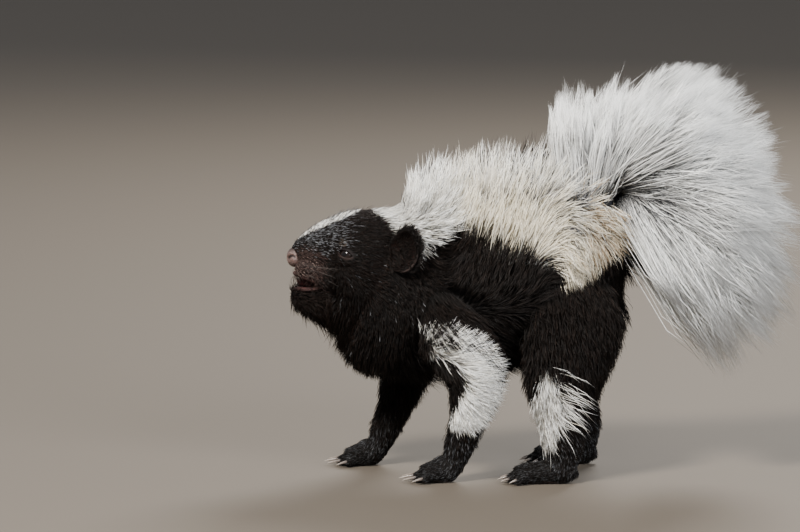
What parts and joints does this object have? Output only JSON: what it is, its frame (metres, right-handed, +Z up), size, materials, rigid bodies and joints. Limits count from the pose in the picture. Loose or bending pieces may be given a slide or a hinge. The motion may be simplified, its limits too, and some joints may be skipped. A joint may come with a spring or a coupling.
{
  "type": "young striped skunk",
  "caption": "Life-size still model of a young striped skunk, standing with its plumed tail arched over its back.",
  "frame": {"origin": "on the floor under the middle of the whole animal's outline, tail and all", "axes": "+Z up; the animal faces -X, and its left side is towards -Y"},
  "size_m": [0.2596, 0.1018, 0.2084],
  "materials": {
    "coat": "dark fur with a white back and nape, and white tufts on the legs",
    "tail_coat": "long white hair with dark roots",
    "nose_skin": "moist skin",
    "paw": "short dark hair over skin",
    "eye": "wet gloss",
    "claw": "horn"
  },
  "bodies": {
    "root": {"tail": "tail_coat", "nose": "nose_skin", "head": "coat", "neck": "coat", "torso": "coat", "foreleg_left": "coat", "foreleg_right": "coat", "hindleg_left": "coat", "hindleg_right": "coat", "ear_left": "coat", "ear_right": "coat", "forepaw_left": "paw", "forepaw_right": "paw", "hindpaw_left": "paw", "hindpaw_right": "paw", "eye_left": "eye", "eye_right": "eye", "claw_fore_left_1": "claw", "claw_fore_left_2": "claw", "claw_fore_left_3": "claw", "claw_fore_left_4": "claw", "claw_fore_left_5": "claw", "claw_fore_right_1": "claw", "claw_fore_right_2": "claw", "claw_fore_right_3": "claw", "claw_fore_right_4": "claw", "claw_fore_right_5": "claw", "claw_hind_left_1": "claw", "claw_hind_left_2": "claw", "claw_hind_left_3": "claw", "claw_hind_left_4": "claw", "claw_hind_left_5": "claw", "claw_hind_right_1": "claw", "claw_hind_right_2": "claw", "claw_hind_right_3": "claw", "claw_hind_right_4": "claw", "claw_hind_right_5": "claw"}
  },
  "joints": []
}
